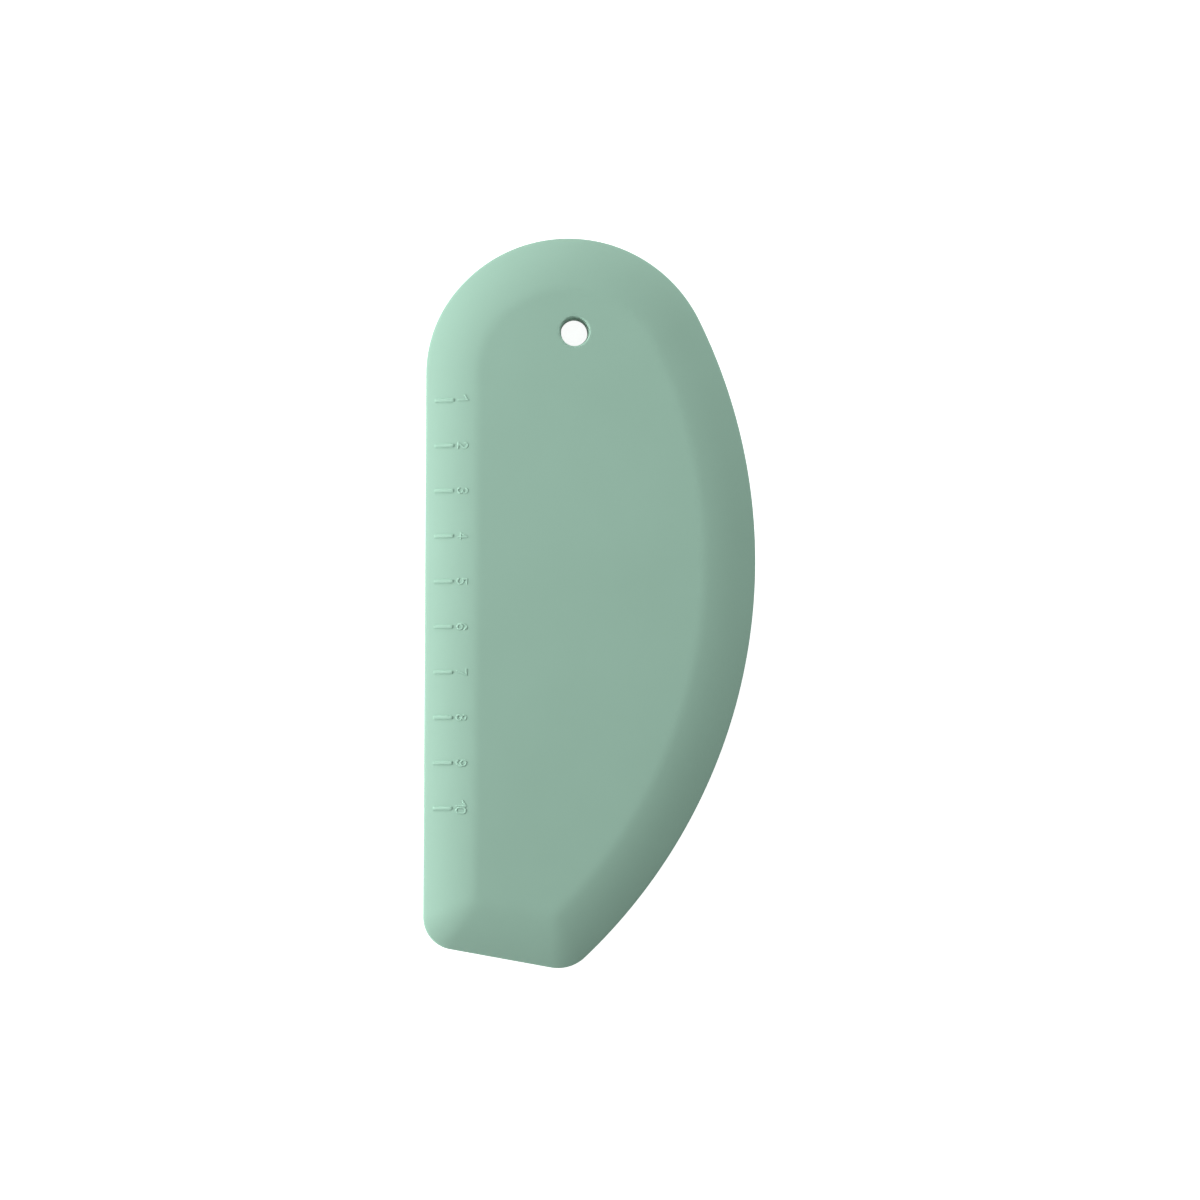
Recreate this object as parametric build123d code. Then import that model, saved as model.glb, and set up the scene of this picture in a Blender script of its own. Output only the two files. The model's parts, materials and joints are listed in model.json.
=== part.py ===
from build123d import *
import os
from math import atan2, cos, degrees, radians, sin, sqrt

# Bowl scraper: a stiff nylon core plate between two moulded halves of silicone rubber
# It lies on its flat back, X across it, Y along its straight edge, Z out of its scale face
# The outline is walked clockwise from its toe, with headings in degrees from X

# Length, from the corner that the toe would have without its round to the top of the crown
scraper_length = 156.24
toe_radius = 7.15

# Round end: the shoulder runs into the crown, and the belly runs from the crown to the heel
shoulder_radius = 28.6
shoulder_turn = 35.1
crown_radius = 32.23
belly_radius = 120.7

# Slanted foot, between the corners that toe and heel would have without their rounds
foot_width = 32.95
foot_slant = 10.1
heel_radius = 8.6

# Section: a round edge, a crowned band that rises from it, and a crease into the flat middle
scraper_thickness = 7.0
edge_radius = 0.6
band_width = 12.4
crease_width = 2.2
crease_slope = 7.5
flat_corner_radius = 1.2

# Hang hole, below the top of the crown and beside its middle, lined with silicone
# It is straight through the back half, and its draft opens it through the front half
hang_radius = 2.95
hang_drop = 20.92
hang_shift = 1.2
hang_rim = 0.3
hang_draft = 0.3
hang_lining = 1.85

# Core plate: a thin flange with keying holes round a thicker web, and a ring round the hang hole
core_inset = 11.4
core_corner = 3.0
flange_thickness = 1.6
flange_width = 7.5
web_thickness = 3.0
ring_width = 3.0
key_radius = 2.25
key_pitch = 17.0
key_wall = 1.2

# Scale: centimetre marks beside the straight edge
mark_count = 10
mark_pitch = 10.0
first_mark_drop = 6.15
mark_start = 1.97
mark_length = 4.2
mark_width = 0.75
mark_height = 0.22
mark_root = 0.5

# Numbers beside the marks, which read towards the foot and stand away from the edge
number_gap = 0.78
digit_height = 2.5
digit_width = 1.6
digit_stroke = 0.42
digit_relief = 0.12
tens_pitch = 0.98
tens_shift = 0.45

# How many sections each stretch of the edge, band and crease is drawn through
rim_steps = 4
band_steps = 5
crease_steps = 3

# Strokes of each digit, across and up its stroke lines: two points are a line and three an arc
digit_stroke_shares = {
    "0": [[(0, 0.27), (0, 0.73)], [(1, 0.27), (1, 0.73)], [(0, 0.73), (0.5, 1), (1, 0.73)],
          [(0, 0.27), (0.5, 0), (1, 0.27)]],
    "1": [[(0.5, 0), (0.5, 1)], [(0.5, 1), (-0.42, 0.68)]],
    "2": [[(0.02, 0.7), (0.5, 1), (0.91, 0.57)], [(0.91, 0.57), (0, 0)], [(0, 0), (1, 0)]],
    "3": [[(0.1, 0.875), (0.9, 0.875), (0.5, 0.52)], [(0.5, 0.52), (0.9, 0.125), (0.06, 0.14)],
          [(0.34, 0.52), (0.5, 0.52)]],
    "4": [[(0.7, 1), (0, 0.32)], [(0, 0.32), (1, 0.32)], [(0.7, 0), (0.7, 1)]],
    "5": [[(0.92, 1), (0.14, 1)], [(0.14, 1), (0.05, 0.53)], [(0.05, 0.53), (1, 0.31), (0, 0.13)]],
    "6": [[(0, 0.29), (0.5, 0.56), (1, 0.29)], [(0, 0.29), (0.5, 0), (1, 0.29)],
          [(0, 0.29), (0.14, 0.83), (0.55, 1)], [(0.55, 1), (0.82, 0.95), (0.96, 0.8)]],
    "7": [[(0, 1), (1, 1)], [(1, 1), (0.3, 0)]],
    "8": [[(0.08, 0.77), (0.5, 1), (0.92, 0.77)], [(0.08, 0.77), (0.5, 0.54), (0.92, 0.77)],
          [(0, 0.27), (0.5, 0.54), (1, 0.27)], [(0, 0.27), (0.5, 0), (1, 0.27)]],
    "9": [[(1, 0.71), (0.5, 0.44), (0, 0.71)], [(1, 0.71), (0.5, 1), (0, 0.71)],
          [(1, 0.71), (0.86, 0.17), (0.45, 0)], [(0.45, 0), (0.18, 0.05), (0.04, 0.2)]],
}


# A unit vector along a heading, and one square to it on its left
def along(heading):
    return Vector(cos(radians(heading)), sin(radians(heading)))


def left_of(heading):
    return Vector(-sin(radians(heading)), cos(radians(heading)))


# The heading of a clockwise walk round a circle, where this spoke from its centre meets it
def heading_at(spoke):
    return degrees(atan2(-spoke.X, spoke.Y))


# Centres and headings of the crown and shoulder, tangent to each other and the straight edge
edge_heading = 90
crown_heading = edge_heading - shoulder_turn
crown_to_shoulder = left_of(crown_heading) * (crown_radius - shoulder_radius)
crown_center = Vector(shoulder_radius - crown_to_shoulder.X, scraper_length - crown_radius)
shoulder_center = crown_center + crown_to_shoulder
edge_top = shoulder_center.Y
hang_center = crown_center + Vector(hang_shift, crown_radius - hang_drop)

# The belly's circle holds the crown's, touches it, and ends at the heel's unrounded corner
foot_heading = -180 - foot_slant
foot_run = along(foot_heading + 180)
foot_inward = -left_of(foot_heading)
crown_to_heel = foot_run * foot_width - crown_center
belly_offset = belly_radius - crown_radius
belly_gap = belly_offset**2 - belly_radius**2
belly_reach = (belly_gap + crown_to_heel.length**2) / (2 * crown_to_heel.length)
belly_shift = sqrt(belly_offset**2 - belly_reach**2)
belly_axis = crown_to_heel.normalized()
belly_center = crown_center + belly_axis * belly_reach + belly_axis.rotate(Axis.Z, -90) * belly_shift
belly_heading = heading_at(crown_center - belly_center)


# A clockwise arc of the outline between two headings
def outline_arc(center, radius, start, end):
    return CenterArc(center, radius, start + edge_heading, end - start)


# The outline at one inset from the edge, with toe and heel rounds of its own
def outline(inset, toe, heel):
    toe_reach = inset + toe
    toe_center = Vector(toe_reach, toe_reach * (1 - foot_inward.X) / foot_inward.Y)
    heel_lift = foot_inward * (inset + heel)
    belly_view = belly_center - heel_lift
    heel_arm = belly_radius - inset - heel
    heel_along = belly_view.dot(foot_run) + sqrt(heel_arm**2 - belly_view.dot(foot_inward)**2)
    heel_center = foot_run * heel_along + heel_lift
    heel_heading = heading_at(heel_center - belly_center)
    edges = [
        Line((inset, toe_center.Y), (inset, edge_top)),
        outline_arc(shoulder_center, shoulder_radius - inset, edge_heading, crown_heading),
        outline_arc(crown_center, crown_radius - inset, crown_heading, belly_heading),
        outline_arc(belly_center, belly_radius - inset, belly_heading, heel_heading),
        outline_arc(heel_center, heel, heel_heading, foot_heading),
        Line(heel_center - foot_inward * heel, toe_center - foot_inward * toe),
        outline_arc(toe_center, toe, foot_heading, edge_heading - 360),
    ]
    return Face(Wire(edges))


# The outline at an inset of the skin, whose corner rounds shrink evenly towards the flat middle
def skin_outline(inset):
    share = inset / band_width
    toe = toe_radius + (flat_corner_radius - toe_radius) * share
    heel = heel_radius + (flat_corner_radius - heel_radius) * share
    return outline(inset, toe, heel)


# Section circles, across the band and up from the parting plane, each tangent to the next
half_thickness = scraper_thickness / 2
crease_radius = crease_width / sin(radians(crease_slope))
crease_center = Vector(band_width, half_thickness - crease_radius)
crease_foot = crease_center + left_of(crease_slope) * crease_radius
rim_center = Vector(edge_radius, 0)
rim_to_crease = crease_foot - rim_center
band_drop = 2 * (rim_to_crease.dot(left_of(crease_slope)) - edge_radius)
band_radius = (rim_to_crease.dot(rim_to_crease) - edge_radius**2) / band_drop
band_center = crease_foot - left_of(crease_slope) * band_radius
rim_slope = heading_at(rim_center - band_center)
section_stretches = [
    (rim_center, edge_radius, edge_heading, rim_slope, rim_steps),
    (band_center, band_radius, rim_slope, crease_slope, band_steps),
    (crease_center, crease_radius, crease_slope, 0, crease_steps),
]


# One stretch of the skin, drawn through its sections from its foot to its top
def skin_stretch(center, radius, start, end, steps):
    faces = []
    for step in range(steps + 1):
        point = center + left_of(start + (end - start) * step / steps) * radius
        faces.append(Pos(0, 0, point.Y) * skin_outline(point.X))
    return loft(faces)


# What the hang hole takes out of one half of the skin, up to its round rim
def hang_cut(draft):
    wall_top = half_thickness - hang_rim
    wall_radius = hang_radius + draft
    rim_radius = wall_radius + hang_rim
    rim_round = left_of(edge_heading / 2) * hang_rim
    rim_middle = Vector(rim_radius, wall_top) + rim_round
    top = half_thickness + hang_rim
    edges = [
        Line((0, 0), (hang_radius, 0)),
        Line((hang_radius, 0), (wall_radius, wall_top)),
        ThreePointArc((wall_radius, wall_top), rim_middle, (rim_radius, half_thickness)),
        Line((rim_radius, half_thickness), (rim_radius, top)),
        Line((rim_radius, top), (0, top)),
        Line((0, top), (0, 0)),
    ]
    return Pos(hang_center) * revolve(Plane.XZ * Face(Wire(edges)), Axis.Z)


# One half of the skin, from the parting plane up, with no hang hole and no core inside it yet
def skin_half():
    half = skin_stretch(*section_stretches[0])
    for stretch in section_stretches[1:]:
        half += skin_stretch(*stretch)
    return half


# A digit's stroke lines thickened into a flat figure about the middle of its foot
def digit(name):
    line_width = digit_width - digit_stroke
    line_height = digit_height - digit_stroke
    figure = Sketch()
    for shares in digit_stroke_shares[name]:
        points = [((x - 0.5) * line_width, y * line_height + digit_stroke / 2) for x, y in shares]
        path = Line(*points) if len(points) == 2 else ThreePointArc(*points)
        figure += SlotArc(path.edge(), digit_stroke)
    return figure


# A number beside its mark, with the tens digit back from the units
def number(value):
    *tens, units = str(value)
    shift = tens_shift * len(tens)
    figure = Pos(shift, 0) * digit(units)
    for name in tens:
        figure += Pos(shift - tens_pitch, 0) * digit(name)
    return figure


# The band and the flat beside it, raised by the height of some of the marks, along the straight edge
def raised_band(reach, height):
    lift = Vector(0, height)
    low = band_center + left_of(rim_slope) * band_radius + lift
    middle = band_center + left_of((rim_slope + crease_slope) / 2) * band_radius + lift
    crease = crease_center + left_of(crease_slope / 2) * crease_radius + lift
    flat = Vector(band_width, half_thickness) + lift
    far = Vector(band_width + reach, half_thickness) + lift
    foot = Vector(low.X, mark_root)
    far_foot = Vector(far.X, mark_root)
    edges = [
        Line(foot, low),
        ThreePointArc(low, middle, crease_foot + lift),
        ThreePointArc(crease_foot + lift, crease, flat),
        Line(flat, far),
        Line(far, far_foot),
        Line(far_foot, foot),
    ]
    return extrude(Plane.XZ * Face(Wire(edges)), edge_top, dir=Axis.Y.direction)


# The marks and their numbers, standing up out of the band along the straight edge
def scale_marks():
    marks = []
    number_start = mark_start + mark_length + number_gap
    bar_band = raised_band(number_start, mark_height)
    number_band = raised_band(number_start + digit_height, digit_relief)
    for step in range(mark_count):
        spot = edge_top - first_mark_drop - mark_pitch * step
        bar = Pos(mark_start + mark_length / 2, spot) * Rectangle(mark_length, mark_width)
        figure = Pos(number_start, spot) * Rot(0, 0, -90) * number(step + 1)
        for flat, band in ((bar, bar_band), (figure, number_band)):
            marks.append(band & extrude(flat, scraper_thickness, dir=Axis.Z.direction))
    return marks


# The core plate about the parting plane
def core_plate():
    hang = Pos(hang_center)
    ring_radius = hang_radius + hang_lining + ring_width
    flange = outline(core_inset, core_corner, core_corner)
    plate = extrude(flange, flange_thickness / 2, both=True)
    plate += extrude(offset(flange, -flange_width), web_thickness / 2, both=True)
    plate += hang * Cylinder(ring_radius, web_thickness)
    key_line = offset(flange, -flange_width / 2).wire()
    key_count = round(key_line.length / key_pitch)
    for step in range(key_count):
        spot = key_line.position_at(step / key_count)
        if (spot - hang_center).length > ring_radius + key_radius + key_wall:
            plate -= Pos(spot) * Cylinder(key_radius, web_thickness)
    return plate - hang * Cylinder(hang_radius + hang_lining, web_thickness)


core = core_plate()
half = skin_half()
pieces = {
    "core_plate": core,
    "front_silicone": half - hang_cut(hang_draft) + scale_marks() - core,
    "back_silicone": mirror(half - hang_cut(0), Plane.XY) - core,
}

# The finished scraper stands on the middle of its back
box = half.bounding_box()
stand = Pos(-box.center().X, -box.center().Y, half_thickness)
os.makedirs("parts", exist_ok=True)
for name, piece in pieces.items():
    export_step(stand * piece, f"parts/{name}.step")
print("size", box.size, "hang hole", (stand * Pos(hang_center)).position, "edge slope", rim_slope)
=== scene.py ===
"""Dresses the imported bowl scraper: one silicone skin with a raised scale, moulded round a core plate.

The scraper lies on its back with X across it, Y along its straight edge and Z out of its scale face.
Sizes are in millimetres and angles in degrees, as in the part's source, and meshes are in metres.
"""

from __future__ import annotations

import json
import logging
from dataclasses import dataclass
from enum import Enum
from math import atan2, cos, degrees, pi, radians, sin, sqrt
from typing import Any

import bmesh
import bpy
from bmesh.types import BMEdge, BMesh, BMFace, BMVert
from mathutils import Matrix, Vector


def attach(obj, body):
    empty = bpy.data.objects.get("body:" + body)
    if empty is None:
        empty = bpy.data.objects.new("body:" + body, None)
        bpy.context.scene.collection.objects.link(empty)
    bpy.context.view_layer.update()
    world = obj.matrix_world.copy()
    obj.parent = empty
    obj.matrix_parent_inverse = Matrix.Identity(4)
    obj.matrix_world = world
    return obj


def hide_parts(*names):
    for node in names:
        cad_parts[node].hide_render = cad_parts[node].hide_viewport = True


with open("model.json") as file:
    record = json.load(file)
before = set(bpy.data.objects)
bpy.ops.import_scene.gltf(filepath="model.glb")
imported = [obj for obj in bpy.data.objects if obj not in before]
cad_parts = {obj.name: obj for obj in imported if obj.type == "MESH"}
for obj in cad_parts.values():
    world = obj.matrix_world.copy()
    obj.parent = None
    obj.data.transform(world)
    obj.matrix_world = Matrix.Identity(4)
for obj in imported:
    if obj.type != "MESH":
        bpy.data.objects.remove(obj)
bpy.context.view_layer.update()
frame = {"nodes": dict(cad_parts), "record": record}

log = logging.getLogger("bowl_scraper")

MM = 0.001
UP = Vector((0.0, 0.0, 1.0))
WELD = 0.001
SHARP = radians(40.0)
QUARTER_TURN, FULL_TURN = 90.0, 360.0
WHITE = "#FFFFFF"
# The colour sockets of a Mix node share their names with its others, so they go by number.
COLOUR_A, COLOUR_B, COLOUR_RESULT = 6, 7, 2

# Strokes of each digit, across and up in shares of its size: two points are a line, and three an arc.
DIGIT_STROKES: dict[str, list[list[tuple[float, float]]]] = {
    "0": [
        [(0, 0.27), (0, 0.73)],
        [(1, 0.27), (1, 0.73)],
        [(0, 0.73), (0.5, 1), (1, 0.73)],
        [(0, 0.27), (0.5, 0), (1, 0.27)],
    ],
    "1": [[(0.5, 0), (0.5, 1)], [(0.5, 1), (-0.42, 0.68)]],
    "2": [
        [(0.02, 0.7), (0.5, 1), (0.91, 0.57)],
        [(0.91, 0.57), (0, 0)],
        [(0, 0), (1, 0)],
    ],
    "3": [
        [(0.1, 0.875), (0.9, 0.875), (0.5, 0.52)],
        [(0.5, 0.52), (0.9, 0.125), (0.06, 0.14)],
        [(0.34, 0.52), (0.5, 0.52)],
    ],
    "4": [[(0.7, 1), (0, 0.32)], [(0, 0.32), (1, 0.32)], [(0.7, 0), (0.7, 1)]],
    "5": [
        [(0.92, 1), (0.14, 1)],
        [(0.14, 1), (0.05, 0.53)],
        [(0.05, 0.53), (1, 0.31), (0, 0.13)],
    ],
    "6": [
        [(0, 0.29), (0.5, 0.56), (1, 0.29)],
        [(0, 0.29), (0.5, 0), (1, 0.29)],
        [(0, 0.29), (0.14, 0.83), (0.55, 1)],
        [(0.55, 1), (0.82, 0.95), (0.96, 0.8)],
    ],
    "7": [[(0, 1), (1, 1)], [(1, 1), (0.3, 0)]],
    "8": [
        [(0.08, 0.77), (0.5, 1), (0.92, 0.77)],
        [(0.08, 0.77), (0.5, 0.54), (0.92, 0.77)],
        [(0, 0.27), (0.5, 0.54), (1, 0.27)],
        [(0, 0.27), (0.5, 0), (1, 0.27)],
    ],
    "9": [
        [(1, 0.71), (0.5, 0.44), (0, 0.71)],
        [(1, 0.71), (0.5, 1), (0, 0.71)],
        [(1, 0.71), (0.86, 0.17), (0.45, 0)],
        [(0.45, 0), (0.18, 0.05), (0.04, 0.2)],
    ],
}


class Slot(Enum):
    """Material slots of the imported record."""

    SILICONE = "silicone"
    CORE = "core_nylon"


def along(heading: float) -> Vector:
    """Returns the level unit vector along a heading, which is counted from X."""
    return Vector((cos(radians(heading)), sin(radians(heading)), 0.0))


def left_of(heading: float) -> Vector:
    """Returns the level unit vector on the left of a heading."""
    return Vector((-sin(radians(heading)), cos(radians(heading)), 0.0))


def heading_at(spoke: Vector) -> float:
    """Returns the heading of a clockwise walk round a circle where this spoke meets it."""
    return degrees(atan2(-spoke.x, spoke.y))


def circle_through(first: Vector, middle: Vector, last: Vector) -> tuple[Vector, float]:
    """Finds the level circle on which three points lie.

    Args:
        first: Where the arc starts.
        middle: A point on the arc.
        last: Where the arc ends.

    Returns:
        The circle's centre, and the turn from first to last in degrees, counterclockwise above zero.
    """
    a, b = middle - first, last - first
    cross = 2.0 * (a.x * b.y - a.y * b.x)
    offset = Vector((b.y * a.length_squared - a.y * b.length_squared,
                     a.x * b.length_squared - b.x * a.length_squared, 0.0)) / cross
    spoke, end_spoke = -offset, b - offset
    turn = degrees(atan2(spoke.x * end_spoke.y - spoke.y * end_spoke.x, spoke.dot(end_spoke)))
    clockwise = cross < 0
    if clockwise and turn > 0:
        turn -= FULL_TURN
    if not clockwise and turn < 0:
        turn += FULL_TURN
    return first + offset, turn


class Chain:
    """A chain of edges that grows from one vertex by straight runs and arcs, all of them spins."""

    def __init__(self, mesh: BMesh, start: Vector) -> None:
        """Puts the first vertex down.

        Args:
            mesh: The mesh that the chain grows in.
            start: The place of the first vertex.
        """
        self.mesh = mesh
        self.verts: list[BMVert] = list(bmesh.ops.create_vert(mesh, co=start)["vert"])
        self.edges: list[BMEdge] = []

    @property
    def tip(self) -> BMVert:
        """The vertex that the chain has grown to."""
        return self.verts[-1]

    @property
    def parts(self) -> list[BMVert | BMEdge]:
        """The vertices and edges of the chain."""
        return [*self.verts, *self.edges]

    def run(self, step: Vector, steps: int = 1) -> None:
        """Grows the chain straight on by equal steps."""
        self._grow(steps, dvec=step)

    def arc(self, center: Vector, turn: float, steps: int, axis: Vector = UP) -> None:
        """Grows the chain round a centre.

        Args:
            center: The middle of the arc.
            turn: How far it turns, in degrees.
            steps: How many edges it has.
            axis: The direction that it turns about.
        """
        self._grow(steps, cent=center, axis=axis, angle=radians(turn))

    def _grow(self, steps: int, **moves: Any) -> None:
        """Spins the tip, and then walks along the edges that it left behind it.

        Args:
            steps: How many edges the chain grows by.
            **moves: What the spin does at each of them or over all of them.
        """
        bmesh.ops.spin(self.mesh, geom=[self.tip], steps=steps, **moves)
        for _ in range(steps):
            edge = self.tip.link_edges[-1] if len(self.tip.link_edges) == 1 else self._ahead()
            self.verts.append(edge.other_vert(self.tip))
            self.edges.append(edge)

    def _ahead(self) -> BMEdge:
        """Returns the edge that leads on from the tip."""
        return next(edge for edge in self.tip.link_edges if edge != self.edges[-1])

    def close(self) -> list[BMEdge]:
        """Joins the tip to the first vertex.

        Returns:
            The loop's edges.
        """
        bmesh.ops.weld_verts(self.mesh, targetmap={self.tip: self.verts[0]})
        first = self.edges[0]
        self.edges[-1] = next(edge for edge in self.verts[0].link_edges if edge != first)
        return self.edges


@dataclass(frozen=True)
class Outline:
    """The scraper's outline, walked clockwise from its toe, and how finely each stretch is drawn."""

    scraper_length: float = 156.24
    toe_radius: float = 7.15
    shoulder_radius: float = 28.6
    shoulder_turn: float = 35.1
    crown_radius: float = 32.23
    belly_radius: float = 120.7
    edge_heading: float = 90.0
    foot_width: float = 32.95
    foot_slant: float = 10.1
    heel_radius: float = 8.6
    flat_corner_radius: float = 1.2
    edge_steps: int = 30
    shoulder_steps: int = 18
    crown_steps: int = 60
    belly_steps: int = 72
    corner_steps: int = 16
    foot_steps: int = 6

    @property
    def crown_heading(self) -> float:
        """Heading where the shoulder runs into the crown."""
        return self.edge_heading - self.shoulder_turn

    @property
    def foot_heading(self) -> float:
        """Heading along the foot, from heel to toe."""
        return -FULL_TURN / 2 - self.foot_slant

    @property
    def crown_center(self) -> Vector:
        """Middle of the crown's circle."""
        across = left_of(self.crown_heading).x * (self.crown_radius - self.shoulder_radius)
        return Vector((self.shoulder_radius - across, self.scraper_length - self.crown_radius, 0.0))

    @property
    def shoulder_center(self) -> Vector:
        """Middle of the shoulder's circle."""
        return self.crown_center + left_of(self.crown_heading) * (self.crown_radius - self.shoulder_radius)

    @property
    def belly_center(self) -> Vector:
        """Middle of the belly's circle, which touches the crown's and ends at the heel's corner."""
        to_heel = along(-self.foot_slant) * self.foot_width - self.crown_center
        offset = self.belly_radius - self.crown_radius
        gap = offset**2 - self.belly_radius**2
        reach = (gap + to_heel.length_squared) / (2 * to_heel.length)
        shift = sqrt(offset**2 - reach**2)
        axis = to_heel.normalized()
        return self.crown_center + axis * reach + Vector((axis.y, -axis.x, 0.0)) * shift

    def loop(self, inset: float, height: float, toe: float, heel: float) -> BMesh:
        """Draws the outline at one inset from the edge.

        Args:
            inset: How far inside the edge.
            height: Its height above the parting plane.
            toe: The toe's radius at this inset.
            heel: The heel's radius at this inset.

        Returns:
            A mesh with the closed loop of edges.
        """
        foot_run = along(-self.foot_slant)
        foot_inward = -left_of(self.foot_heading)
        reach = inset + toe
        toe_center = Vector((reach, reach * (1 - foot_inward.x) / foot_inward.y, 0.0))
        lift = foot_inward * (inset + heel)
        view = self.belly_center - lift
        arm = self.belly_radius - inset - heel
        heel_center = foot_run * (view.dot(foot_run) + sqrt(arm**2 - view.dot(foot_inward) ** 2)) + lift
        heel_heading = heading_at(heel_center - self.belly_center)
        belly_heading = heading_at(self.crown_center - self.belly_center)
        rise = UP * height
        start = Vector((inset, toe_center.y, 0.0)) + rise
        edge_run = Vector((inset, self.shoulder_center.y, 0.0)) + rise - start
        foot_step = (toe_center - heel_center + foot_inward * (heel - toe)) / self.foot_steps
        mesh = bmesh.new()
        walk = Chain(mesh, start)
        walk.run(edge_run / self.edge_steps, self.edge_steps)
        walk.arc(self.shoulder_center, self.crown_heading - self.edge_heading, self.shoulder_steps)
        walk.arc(self.crown_center, belly_heading - self.crown_heading, self.crown_steps)
        walk.arc(self.belly_center, heel_heading - belly_heading, self.belly_steps)
        walk.arc(heel_center, self.foot_heading - heel_heading, self.corner_steps)
        walk.run(foot_step, self.foot_steps)
        walk.arc(toe_center, self.edge_heading - FULL_TURN - self.foot_heading, self.corner_steps)
        walk.close()
        return mesh

    def skin_loop(self, inset: float, height: float, band_width: float) -> BMesh:
        """Draws the skin's outline, whose corner rounds shrink evenly towards the flat middle.

        Args:
            inset: How far inside the edge.
            height: Its height above the parting plane.
            band_width: The inset at which the flat middle starts.

        Returns:
            A mesh with the closed loop of edges.
        """
        share = min(inset / band_width, 1.0)
        toe = self.toe_radius + (self.flat_corner_radius - self.toe_radius) * share
        heel = self.heel_radius + (self.flat_corner_radius - self.heel_radius) * share
        return self.loop(inset, height, toe, heel)


@dataclass(frozen=True)
class Stretch:
    """One arc of the section, with slopes in degrees where it starts and ends."""

    center: Vector
    radius: float
    start: float
    end: float
    steps: int

    def points(self) -> list[Vector]:
        """Places the arc's points.

        Returns:
            The points after the first, each an inset and a height.
        """
        shares = [step / self.steps for step in range(1, self.steps + 1)]
        slopes = [self.start + (self.end - self.start) * share for share in shares]
        return [self.center + left_of(slope) * self.radius for slope in slopes]


@dataclass(frozen=True)
class Section:
    """The skin's section: a round edge, a crowned band and a crease into the flat middle."""

    thickness: float = 7.0
    edge_radius: float = 0.6
    band_width: float = 12.4
    crease_width: float = 2.2
    crease_slope: float = 7.5
    rim_steps: int = 7
    band_steps: int = 12
    crease_steps: int = 6

    @property
    def half_thickness(self) -> float:
        """Height of the flat middle above the parting plane."""
        return self.thickness / 2

    @property
    def crease_radius(self) -> float:
        """Radius at which the crease turns from the band's slope to level."""
        return self.crease_width / sin(radians(self.crease_slope))

    @property
    def crease_center(self) -> Vector:
        """Middle of the crease's circle."""
        return Vector((self.band_width, self.half_thickness - self.crease_radius, 0.0))

    @property
    def crease_foot(self) -> Vector:
        """Where the band runs into the crease."""
        return self.crease_center + left_of(self.crease_slope) * self.crease_radius

    @property
    def rim_center(self) -> Vector:
        """Middle of the round edge."""
        return Vector((self.edge_radius, 0.0, 0.0))

    @property
    def band_radius(self) -> float:
        """Radius of the crowned band, which touches the round edge and the crease."""
        reach = self.crease_foot - self.rim_center
        drop = 2 * (reach.dot(left_of(self.crease_slope)) - self.edge_radius)
        return (reach.length_squared - self.edge_radius**2) / drop

    @property
    def band_center(self) -> Vector:
        """Middle of the band's circle."""
        return self.crease_foot - left_of(self.crease_slope) * self.band_radius

    @property
    def rim_slope(self) -> float:
        """Slope where the round edge runs into the band."""
        return heading_at(self.rim_center - self.band_center)

    def stretches(self) -> list[Stretch]:
        """Returns the section's arcs from the edge to the flat middle."""
        return [
            Stretch(self.rim_center, self.edge_radius, QUARTER_TURN, self.rim_slope, self.rim_steps),
            Stretch(self.band_center, self.band_radius, self.rim_slope, self.crease_slope, self.band_steps),
            Stretch(self.crease_center, self.crease_radius, self.crease_slope, 0.0, self.crease_steps),
        ]

    def top(self, inset: float) -> float:
        """Measures the face's height on the band or inside it.

        Args:
            inset: How far inside the edge.

        Returns:
            The height above the parting plane.
        """
        if inset >= self.band_width:
            return self.half_thickness
        on_crease = inset > self.crease_foot.x
        center = self.crease_center if on_crease else self.band_center
        radius = self.crease_radius if on_crease else self.band_radius
        return center.y + sqrt(radius**2 - (inset - center.x) ** 2)


def new_object(name: str, mesh: BMesh, shift: Vector) -> bpy.types.Object:
    """Makes an object of a mesh that was drawn in millimetres in the outline's own frame.

    Args:
        name: The object's name.
        mesh: Its mesh, which is freed.
        shift: From the outline's frame to the row frame, in millimetres.

    Returns:
        The object, at the origin, unturned and unscaled.
    """
    bmesh.ops.translate(mesh, vec=shift, verts=mesh.verts)
    bmesh.ops.scale(mesh, vec=Vector((MM, MM, MM)), verts=mesh.verts)
    for face in mesh.faces:
        face.smooth = True
    for edge in mesh.edges:
        edge.smooth = edge.calc_face_angle(0.0) < SHARP
    data = bpy.data.meshes.new(name)
    mesh.to_mesh(data)
    mesh.free()
    made = bpy.data.objects.new(name, data)
    bpy.context.scene.collection.objects.link(made)
    return made


def pour(part: BMesh, mesh: BMesh, shift: Vector | None = None) -> list[BMEdge]:
    """Adds a part to a mesh that only ever grows.

    Args:
        part: The part, which is freed.
        mesh: The mesh that it is added to.
        shift: How far the part moves first.

    Returns:
        The part's edges in that mesh.
    """
    if shift:
        bmesh.ops.translate(part, vec=shift, verts=part.verts)
    count = len(mesh.edges)
    carrier = bpy.data.meshes.new("carrier")
    part.to_mesh(carrier)
    part.free()
    mesh.from_mesh(carrier)
    bpy.data.meshes.remove(carrier)
    mesh.edges.ensure_lookup_table()
    return mesh.edges[count:]


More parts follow.
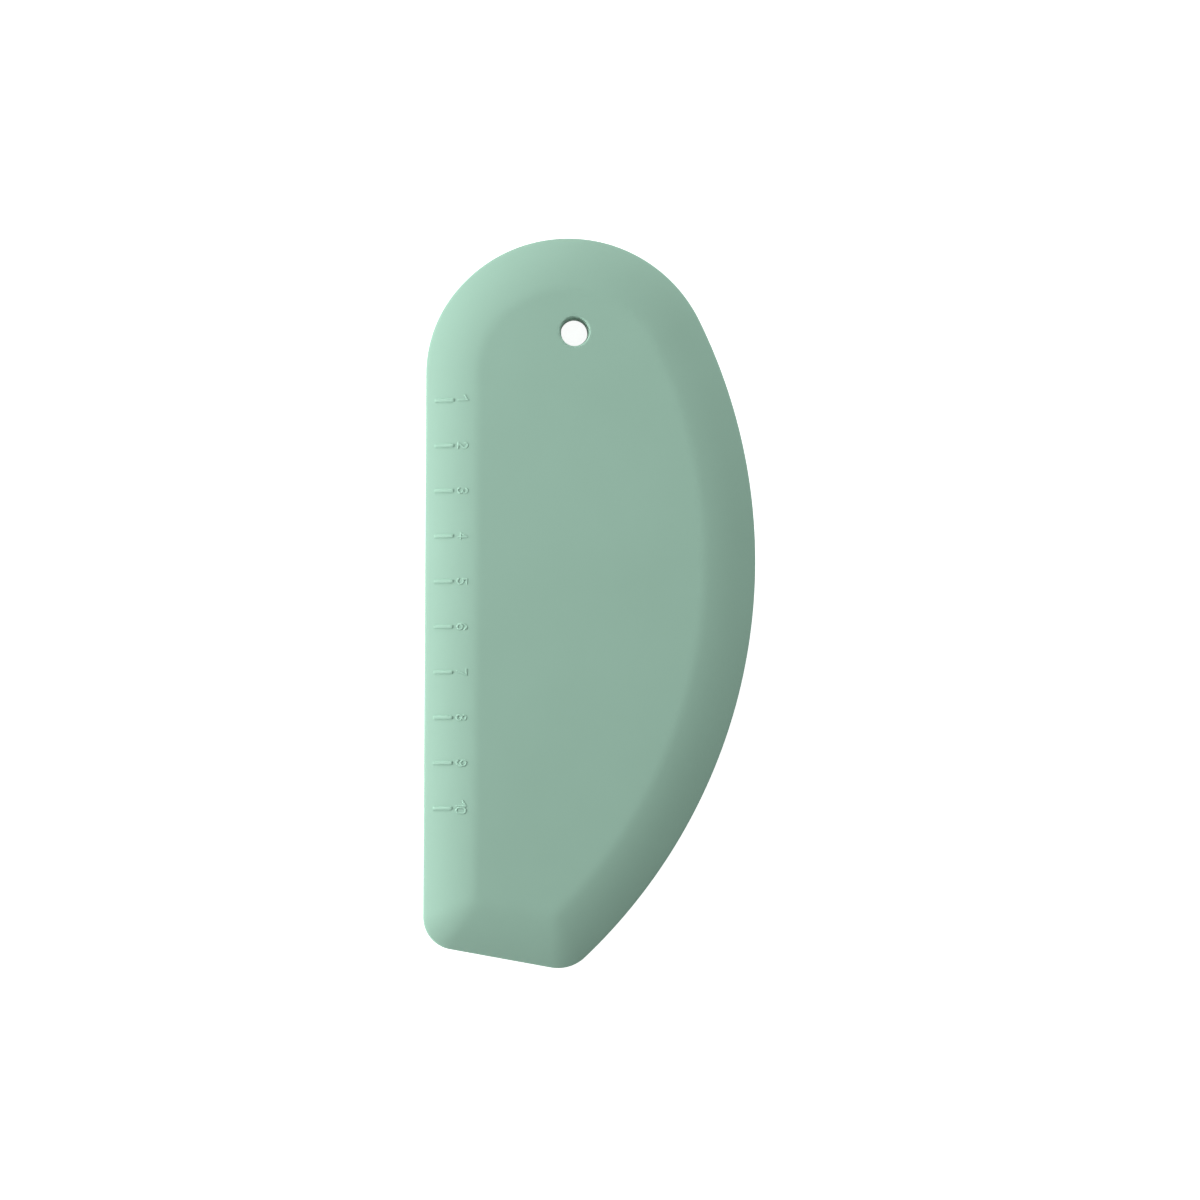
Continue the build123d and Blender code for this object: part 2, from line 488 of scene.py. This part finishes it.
@dataclass
class SiliconeSkin:
    """The moulded skin: both faces, the round edge and the lined hang hole, closed into one shell."""

    outline: Outline
    section: Section
    hang_radius: float = 2.95
    hang_drop: float = 20.92
    hang_shift: float = 1.2
    hang_rim: float = 0.3
    hang_draft: float = 0.3
    hang_steps: int = 64
    rim_steps: int = 8
    collar_width: float = 0.8

    @property
    def hang_center(self) -> Vector:
        """Middle of the hang hole, in the outline's own frame."""
        drop = self.outline.crown_radius - self.hang_drop
        return self.outline.crown_center + Vector((self.hang_shift, drop, 0.0))

    def band(self, mesh: BMesh) -> list[BMEdge]:
        """Draws the half skin from the parting plane up to the rim of the flat middle.

        Args:
            mesh: The mesh that it is drawn in.

        Returns:
            The last ring's edges.
        """
        width = self.section.band_width
        points = [Vector()]
        for stretch in self.section.stretches():
            points += stretch.points()
        ring: list[BMEdge] = []
        for point in points:
            last = ring
            ring = pour(self.outline.skin_loop(point.x, point.y, width), mesh)
            if last:
                bmesh.ops.bridge_loops(mesh, edges=last + ring)
        return ring

    def hang_wall(self, mesh: BMesh) -> list[BMEdge]:
        """Turns the straight half wall of the hang hole and its round rim.

        Args:
            mesh: The mesh that it is drawn in.

        Returns:
            The rim's outer edges.
        """
        wall_top = self.section.half_thickness - self.hang_rim
        rim_reach = Vector((self.hang_radius + self.hang_rim, 0.0, wall_top))
        profile = Chain(mesh, self.hang_center + Vector((self.hang_radius, 0.0, 0.0)))
        profile.run(UP * wall_top)
        axis = Vector((0.0, 1.0, 0.0))
        profile.arc(self.hang_center + rim_reach, QUARTER_TURN, self.rim_steps, axis)
        bmesh.ops.spin(
            mesh,
            geom=profile.parts,
            cent=self.hang_center,
            axis=UP,
            angle=2 * pi,
            steps=self.hang_steps,
            use_merge=True,
        )
        spokes = {vert: (vert.co - self.hang_center).xy.length for vert in mesh.verts}
        top = {vert for vert, spoke in spokes.items() if abs(spoke - rim_reach.x) < WELD}
        return [edge for edge in mesh.edges if top.issuperset(edge.verts)]

    def open_front(self, mesh: BMesh) -> None:
        """Opens the hang hole towards the front by its draft.

        Args:
            mesh: The closed skin, whose hang hole is straight.
        """
        wall_top = self.section.half_thickness - self.hang_rim
        rim_reach = self.hang_radius + self.hang_rim + WELD
        for vert in mesh.verts:
            spoke = (vert.co - self.hang_center) * Vector((1.0, 1.0, 0.0))
            if vert.co.z > 0 and spoke.length < rim_reach:
                vert.co += spoke.normalized() * self.hang_draft * min(vert.co.z / wall_top, 1.0)

    def build(self) -> BMesh:
        """Draws the whole skin, whose back mirrors its front but for the hang hole's draft.

        Returns:
            Its closed mesh, in the outline's own frame.
        """
        mesh = bmesh.new()
        rims = self.band(mesh) + self.hang_wall(mesh)
        filled = bmesh.ops.triangle_fill(mesh, edges=rims, use_beauty=True, normal=UP)["geom"]
        flat = [item for item in filled if isinstance(item, BMFace)]
        bmesh.ops.recalc_face_normals(mesh, faces=mesh.faces)
        bmesh.ops.inset_region(mesh, faces=flat, thickness=self.collar_width, use_even_offset=True)
        half = [*mesh.verts, *mesh.edges, *mesh.faces]
        bmesh.ops.mirror(mesh, geom=half, axis="Z", merge_dist=WELD)
        bmesh.ops.remove_doubles(mesh, verts=mesh.verts, dist=WELD)
        self.open_front(mesh)
        bmesh.ops.recalc_face_normals(mesh, faces=mesh.faces)
        return mesh


@dataclass
class CentimetreScale:
    """Ten raised bars and their numbers, which follow the crowned band beside the straight edge."""

    section: Section
    edge_top: float
    mark_count: int = 10
    mark_pitch: float = 10.0
    first_mark_drop: float = 6.15
    mark_start: float = 1.97
    mark_length: float = 4.2
    mark_width: float = 0.75
    mark_height: float = 0.22
    mark_root: float = 0.3
    mark_bevel: float = 0.17
    bar_cuts: int = 7
    number_gap: float = 0.78
    digit_height: float = 2.5
    digit_width: float = 1.6
    digit_stroke: float = 0.42
    digit_relief: float = 0.12
    tens_pitch: float = 0.98
    tens_shift: float = 0.45
    stroke_bevel: float = 0.17
    stroke_rise: float = 0.004
    bevel_steps: int = 4
    end_steps: int = 10
    stroke_pitch: float = 0.25

    def bar(self) -> BMesh:
        """Draws one level bar with softened edges.

        Returns:
            Its mesh, with the middle of its end nearest the straight edge at the origin.
        """
        mesh = bmesh.new()
        depth = self.mark_height + self.mark_root
        middle = Vector((self.mark_length / 2, 0.0, self.mark_height - depth / 2))
        place = Matrix.LocRotScale(middle, None, Vector((self.mark_length, self.mark_width, depth)))
        bmesh.ops.create_cube(mesh, size=1.0, matrix=place)
        bmesh.ops.bevel(
            mesh,
            geom=[edge for edge in mesh.edges if max(vert.co.z for vert in edge.verts) > 0],
            offset=self.mark_bevel,
            segments=self.bevel_steps,
            profile=0.5,
            affect="EDGES",
            material=-1,
        )
        lengthwise = [edge for edge in mesh.edges if edge.calc_length() > self.mark_length / 2]
        bmesh.ops.subdivide_edges(mesh, edges=lengthwise, cuts=self.bar_cuts, use_grid_fill=True)
        return mesh

    def stroke(self, points: list[Vector]) -> BMesh:
        """Draws one level stroke of a digit, with round ends and a softened top.

        Args:
            points: Two points of a line, or three of an arc.

        Returns:
            Its closed mesh.
        """
        start, end = points[0], points[-1]
        span = end - start
        center, turn, run, reach = Vector(), 0.0, span.normalized(), span.length
        if len(points) > 2:
            center, turn = circle_through(*points)
            spoke = start - center
            run = UP.cross(spoke).normalized() * (1.0 if turn > 0 else -1.0)
            reach = spoke.length * abs(radians(turn))
        steps = max(2, round(reach / self.stroke_pitch))
        side = UP.cross(run)
        flat = self.digit_stroke / 2 - self.stroke_bevel
        wall_top = self.digit_relief - self.stroke_bevel
        mesh = bmesh.new()
        half = Chain(mesh, start - UP * self.mark_root)
        half.run(side * (flat + self.stroke_bevel))
        half.run(UP * (self.mark_root + wall_top))
        half.arc(start + side * flat + UP * wall_top, QUARTER_TURN, self.bevel_steps, axis=run)
        half.run(-side * flat)
        cap = {"axis": UP, "angle": pi, "steps": self.end_steps}
        right = bmesh.ops.spin(mesh, geom=half.parts, cent=start, **cap)["geom_last"]
        sweep = {"cent": center, "axis": UP, "angle": radians(turn)} if turn else {"dvec": span / steps}
        swept = bmesh.ops.spin(mesh, geom=half.parts + right, steps=steps, **sweep)["geom_last"]
        ahead = Matrix.Rotation(radians(turn), 3, "Z") @ side
        near = {item for item in swept if isinstance(item, BMVert) and (item.co - end).dot(ahead) < WELD}
        near_edges = [item for item in swept if isinstance(item, BMEdge) and near.issuperset(item.verts)]
        bmesh.ops.spin(mesh, geom=[*near, *near_edges], cent=end, **cap)
        bmesh.ops.remove_doubles(mesh, verts=mesh.verts, dist=WELD)
        return mesh

    def digit(self, name: str) -> list[BMesh]:
        """Draws one digit's strokes, level and with its foot towards the straight edge.

        Args:
            name: The digit.

        Returns:
            The strokes' closed meshes, with the middle of the digit's foot at the origin.
        """
        line_width = self.digit_width - self.digit_stroke
        line_height = self.digit_height - self.digit_stroke
        foot = self.digit_stroke / 2
        return [
            self.stroke([Vector((foot + y * line_height, (0.5 - x) * line_width, 0.0)) for x, y in shares])
            for shares in DIGIT_STROKES[name]
        ]

    def build(self) -> BMesh:
        """Draws the marks level, and then lays them over the crowned band.

        Returns:
            Their mesh, in the outline's own frame.
        """
        mesh = bmesh.new()
        number_start = self.mark_start + self.mark_length + self.number_gap
        for step in range(self.mark_count):
            spot = self.edge_top - self.first_mark_drop - self.mark_pitch * step
            pour(self.bar(), mesh, Vector((self.mark_start, spot, 0.0)))
            digits = str(step + 1)
            for place, name in enumerate(reversed(digits)):
                shift = self.tens_shift * (len(digits) - 1) - self.tens_pitch * place
                for layer, stroke in enumerate(self.digit(name)):
                    pour(stroke, mesh, Vector((number_start, spot - shift, layer * self.stroke_rise)))
        for vert in mesh.verts:
            vert.co.z += self.section.top(vert.co.x)
        bmesh.ops.recalc_face_normals(mesh, faces=mesh.faces)
        return mesh


def linear(colour: str) -> tuple[float, float, float, float]:
    """Turns an sRGB colour into Blender's linear one, by the sRGB standard's curve.

    Args:
        colour: The colour, in hex.

    Returns:
        Its red, green, blue and alpha.
    """
    channels = [int(colour[i : i + 2], 16) / 255 for i in (1, 3, 5)]
    light = [c / 12.92 if c <= 0.04045 else ((c + 0.055) / 1.055) ** 2.4 for c in channels]
    return (*light, 1.0)


def add_node(
    tree: bpy.types.NodeTree,
    kind: str,
    values: dict[str | int, Any] | None = None,
    links: dict[str | int, bpy.types.NodeSocket] | None = None,
    **settings: Any,
) -> bpy.types.Node:
    """Adds one node.

    Args:
        tree: The node tree that it is added to.
        kind: The node's type.
        values: Values of its unlinked inputs.
        links: The output that each linked input takes.
        **settings: Its own properties.

    Returns:
        The node.
    """
    node = tree.nodes.new(kind)
    for name, value in settings.items():
        setattr(node, name, value)
    for name, value in (values or {}).items():
        node.inputs[name].default_value = value
    for name, output in (links or {}).items():
        tree.links.new(output, node.inputs[name])
    return node


def empty_material(name: str) -> tuple[bpy.types.Material, bpy.types.NodeTree]:
    """Makes a material with no nodes.

    Args:
        name: The material's name.

    Returns:
        The material and its node tree.
    """
    material = bpy.data.materials.new(name)
    material.use_nodes = True
    material.node_tree.nodes.clear()
    return material, material.node_tree


@dataclass(frozen=True)
class SiliconeRubber:
    """Pigmented silicone rubber, compression moulded in a blasted steel mould.

    The blasting gives it a dry satin face with a very fine grain, and the pigment goes right through,
    so it is one soft colour with no clear coat and only broad, weak highlights.
    """

    name: str = "moulded_silicone_rubber"
    light: str = "#94B7A6"
    dark: str = "#8FB1A0"
    ior: float = 1.41
    gloss: float = 0.15
    cloud_size: float = 22.0
    smooth_roughness: float = 0.56
    dry_roughness: float = 0.7
    handled_size: float = 14.0
    grain_size: float = 0.45
    grain_depth: float = 0.012
    cloud_detail: float = 3.0
    handled_detail: float = 4.0
    grain_detail: float = 2.0

    def material(self) -> bpy.types.Material:
        """Builds the material's nodes.

        Returns:
            The material.
        """
        material, tree = empty_material(self.name)
        place = add_node(tree, "ShaderNodeTexCoord").outputs["Object"]
        cloud = add_node(
            tree,
            "ShaderNodeTexNoise",
            {"Scale": 1 / (self.cloud_size * MM), "Detail": self.cloud_detail},
            {"Vector": place},
        )
        colour = add_node(
            tree,
            "ShaderNodeMix",
            {COLOUR_A: linear(self.dark), COLOUR_B: linear(self.light)},
            {"Factor": cloud.outputs["Fac"]},
            data_type="RGBA",
        )
        handled = add_node(
            tree,
            "ShaderNodeTexNoise",
            {"Scale": 1 / (self.handled_size * MM), "Detail": self.handled_detail},
            {"Vector": place},
        )
        roughness = add_node(
            tree,
            "ShaderNodeMapRange",
            {"To Min": self.smooth_roughness, "To Max": self.dry_roughness},
            {"Value": handled.outputs["Fac"]},
        )
        # The blasted grain is nearer 0.1 mm, and is drawn coarser here so that it shows at all.
        grain = add_node(
            tree,
            "ShaderNodeTexNoise",
            {"Scale": 1 / (self.grain_size * MM), "Detail": self.grain_detail},
            {"Vector": place},
        )
        bump = add_node(
            tree,
            "ShaderNodeBump",
            {"Distance": self.grain_depth * MM},
            {"Height": grain.outputs["Fac"]},
        )
        shader = add_node(
            tree,
            "ShaderNodeBsdfPrincipled",
            {"IOR": self.ior, "Specular IOR Level": self.gloss},
            {
                "Base Color": colour.outputs[COLOUR_RESULT],
                "Roughness": roughness.outputs["Result"],
                "Normal": bump.outputs["Normal"],
            },
        )
        add_node(tree, "ShaderNodeOutputMaterial", links={"Surface": shader.outputs["BSDF"]})
        return material


# The raised marks are a little paler than the skin round them: a painted highlight for the light that their
# tops catch.
PAINTED_HIGHLIGHT_SILICONE = SiliconeRubber(name="painted_highlight_silicone_rubber", light="#98BCAA", dark="#93B6A5")


@dataclass(frozen=True)
class FilledNylon:
    """Natural nylon with short glass fibres, injection moulded.

    It is an ivory plastic whose fibres lie in the face as fine pale flecks and leave it matte.
    """

    name: str = "moulded_glass_filled_nylon"
    resin: str = "#DAD6CB"
    fleck: str = "#E8E5DC"
    ior: float = 1.53
    fibre_size: float = 0.6
    smooth_roughness: float = 0.45
    fibre_roughness: float = 0.65
    fibre_depth: float = 0.01
    fibre_detail: float = 5.0
    fibre_twist: float = 1.5

    def material(self) -> bpy.types.Material:
        """Builds the material's nodes.

        Returns:
            The material.
        """
        material, tree = empty_material(self.name)
        place = add_node(tree, "ShaderNodeTexCoord").outputs["Object"]
        fibres = add_node(
            tree,
            "ShaderNodeTexNoise",
            {
                "Scale": 1 / (self.fibre_size * MM),
                "Detail": self.fibre_detail,
                "Distortion": self.fibre_twist,
            },
            {"Vector": place},
        )
        colour = add_node(
            tree,
            "ShaderNodeMix",
            {COLOUR_A: linear(self.resin), COLOUR_B: linear(self.fleck)},
            {"Factor": fibres.outputs["Fac"]},
            data_type="RGBA",
        )
        roughness = add_node(
            tree,
            "ShaderNodeMapRange",
            {"To Min": self.smooth_roughness, "To Max": self.fibre_roughness},
            {"Value": fibres.outputs["Fac"]},
        )
        bump = add_node(
            tree,
            "ShaderNodeBump",
            {"Distance": self.fibre_depth * MM},
            {"Height": fibres.outputs["Fac"]},
        )
        shader = add_node(
            tree,
            "ShaderNodeBsdfPrincipled",
            {"IOR": self.ior},
            {
                "Base Color": colour.outputs[COLOUR_RESULT],
                "Roughness": roughness.outputs["Result"],
                "Normal": bump.outputs["Normal"],
            },
        )
        add_node(tree, "ShaderNodeOutputMaterial", links={"Surface": shader.outputs["BSDF"]})
        return material


@dataclass(frozen=True)
class Softbox:
    """A square softbox, with its azimuth counted from X and its elevation above the table.

    Its share is the part of the light on a level white card that it gives, where the whole studio gives 1.
    """

    name: str
    azimuth: float
    elevation: float
    distance: float
    share: float
    size: float = 200.0

    @property
    def power(self) -> float:
        """The lamp's watts, from the light that its share puts on a level card at its distance."""
        return self.share * (pi * self.distance * MM) ** 2 / sin(radians(self.elevation))

    def hang(self) -> None:
        """Adds the lamp, aimed at the middle of the scraper and unseen by the camera."""
        lamp = bpy.data.lights.new(self.name, "AREA")
        lamp.shape = "SQUARE"
        lamp.size = self.size * MM
        lamp.energy = self.power
        made = bpy.data.objects.new(self.name, lamp)
        reach = along(self.azimuth) * cos(radians(self.elevation)) + UP * sin(radians(self.elevation))
        made.location = reach * self.distance * MM
        made.rotation_euler = reach.to_track_quat("Z", "Y").to_euler()
        made.visible_camera = False
        bpy.context.scene.collection.objects.link(made)


@dataclass
class Studio:
    """A white table under softboxes, photographed from above."""

    softboxes: tuple[Softbox, ...] = (
        Softbox("key_softbox", azimuth=180.0, elevation=14.0, distance=450.0, share=0.35),
        Softbox("crown_softbox", azimuth=84.0, elevation=26.0, distance=800.0, share=0.32),
        Softbox("belly_softbox", azimuth=5.0, elevation=12.0, distance=600.0, share=0.02),
        Softbox("foot_softbox", azimuth=255.0, elevation=15.0, distance=700.0, share=0.06),
    )
    ambient: float = 0.24
    floor_size: float = 4000.0
    floor_gap: float = 0.05
    floor_colour: str = "#E0E0E0"
    floor_glow: float = 0.9
    camera_place: tuple[float, float, float] = (-44.0, -40.0, 1100.0)
    view_width: float = 265.3
    view_centre: tuple[float, float] = (2.16, 0.57)
    roll: float = 0.286
    sensor: float = 36.0

    def background_rays(self, tree: bpy.types.NodeTree) -> bpy.types.NodeSocket:
        """Tells the rays that see the white background, from the camera, by gloss or through glass.

        Args:
            tree: The node tree that the test is added to.

        Returns:
            The output that is 1 for such a ray.
        """
        rays = add_node(tree, "ShaderNodeLightPath").outputs
        gloss = {0: rays["Is Camera Ray"], 1: rays["Is Glossy Ray"]}
        seen = add_node(tree, "ShaderNodeMath", links=gloss, operation="ADD").outputs[0]
        glass = {0: seen, 1: rays["Is Transmission Ray"]}
        return add_node(tree, "ShaderNodeMath", links=glass, operation="ADD", use_clamp=True).outputs[0]

    def floor(self) -> None:
        """Lays the white table, which glows for the camera and keeps the scraper's shadow."""
        mesh = bmesh.new()
        bmesh.ops.create_grid(mesh, x_segments=1, y_segments=1, size=self.floor_size / 2)
        made = new_object("white_table", mesh, UP * -self.floor_gap)
        material, tree = empty_material("white_table_laminate")
        white = add_node(tree, "ShaderNodeBsdfDiffuse", {"Color": linear(self.floor_colour)})
        rays = self.background_rays(tree)
        strength = add_node(tree, "ShaderNodeMath", {1: self.floor_glow}, {0: rays}, operation="MULTIPLY")
        glow = add_node(tree, "ShaderNodeEmission", links={"Strength": strength.outputs[0]})
        both = add_node(tree, "ShaderNodeAddShader", links={0: white.outputs[0], 1: glow.outputs[0]})
        add_node(tree, "ShaderNodeOutputMaterial", links={"Surface": both.outputs[0]})
        made.data.materials.append(material)

    def world(self) -> None:
        """Sets a white background that lights the scraper only as much as the ambient light."""
        world = bpy.data.worlds.new("white_room")
        world.use_nodes = True
        tree = world.node_tree
        tree.nodes.clear()
        room = add_node(tree, "ShaderNodeBackground", {"Color": linear(WHITE), "Strength": self.ambient})
        white = add_node(tree, "ShaderNodeBackground", {"Color": linear(WHITE), "Strength": 1.0})
        shades = {0: self.background_rays(tree), 1: room.outputs[0], 2: white.outputs[0]}
        mixed = add_node(tree, "ShaderNodeMixShader", links=shades)
        add_node(tree, "ShaderNodeOutputWorld", links={"Surface": mixed.outputs[0]})
        bpy.context.scene.world = world

    def camera(self, focus: float) -> None:
        """Hangs the camera over the scraper, a little off towards its toe, and aims it.

        Args:
            focus: Height of the plane whose view width is known, above the floor.
        """
        arm = Vector(self.camera_place)
        turn = Matrix.Rotation(radians(self.roll), 3, "Z")
        lens = bpy.data.cameras.new("overhead_camera")
        lens.sensor_width = self.sensor
        lens.lens = self.sensor * arm.length / self.view_width
        made = bpy.data.objects.new("overhead_camera", lens)
        made.location = (Vector((*self.view_centre, focus)) + turn @ arm) * MM
        made.rotation_euler = (turn @ UP.rotation_difference(arm).to_matrix()).to_euler()
        bpy.context.scene.collection.objects.link(made)
        bpy.context.scene.camera = made

    def build(self, focus: float) -> None:
        """Sets up the table, the room, the lamps and the camera.

        Args:
            focus: Height of the plane whose view width is known, above the floor.
        """
        self.floor()
        self.world()
        for softbox in self.softboxes:
            softbox.hang()
        self.camera(focus)
        bpy.context.scene.view_settings.view_transform = "Standard"


def ride(piece: bpy.types.Object, slot: Slot, *nodes: str) -> None:
    """Hands a finished piece to the frame.

    Args:
        piece: The piece.
        slot: The record's slot for its finish; not used.
        *nodes: The CAD nodes that it stands for.
    """
    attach(piece, "root")
    if nodes:
        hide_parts(*nodes)
    triangles = sum(len(face.vertices) - 2 for face in piece.data.polygons)
    log.info("%s: %d triangles, for %s", piece.name, triangles, ", ".join(nodes) or "itself")


def main() -> None:
    """Builds the scraper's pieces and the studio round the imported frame."""
    logging.basicConfig(level=logging.INFO, format="%(name)s: %(message)s")
    outline = Outline()
    section = Section()
    skin = SiliconeSkin(outline, section)
    scale = CentimetreScale(section, outline.shoulder_center.y)
    mount = next(m for m in frame["record"]["mounts"] if m["name"] == "hang_hole")
    spot = Vector(mount["pos_m"]) / MM
    shift = Vector((spot.x, spot.y, section.half_thickness)) - skin.hang_center
    skin_piece = new_object("silicone_skin", skin.build(), shift)
    skin_piece.data.materials.append(SiliconeRubber().material())
    scale_piece = new_object("centimetre_scale", scale.build(), shift)
    # The marks take the paler silicone, which is a painted highlight on their tops.
    scale_piece.data.materials.append(PAINTED_HIGHLIGHT_SILICONE.material())
    ride(skin_piece, Slot.SILICONE, "front_silicone", "back_silicone")
    ride(scale_piece, Slot.SILICONE)
    core = frame["nodes"]["core_plate"]
    core.data.materials.clear()
    core.data.materials.append(FilledNylon().material())
    log.info("core_plate keeps its CAD mesh")
    Studio().build(section.half_thickness)


if __name__ == "__main__":
    main()
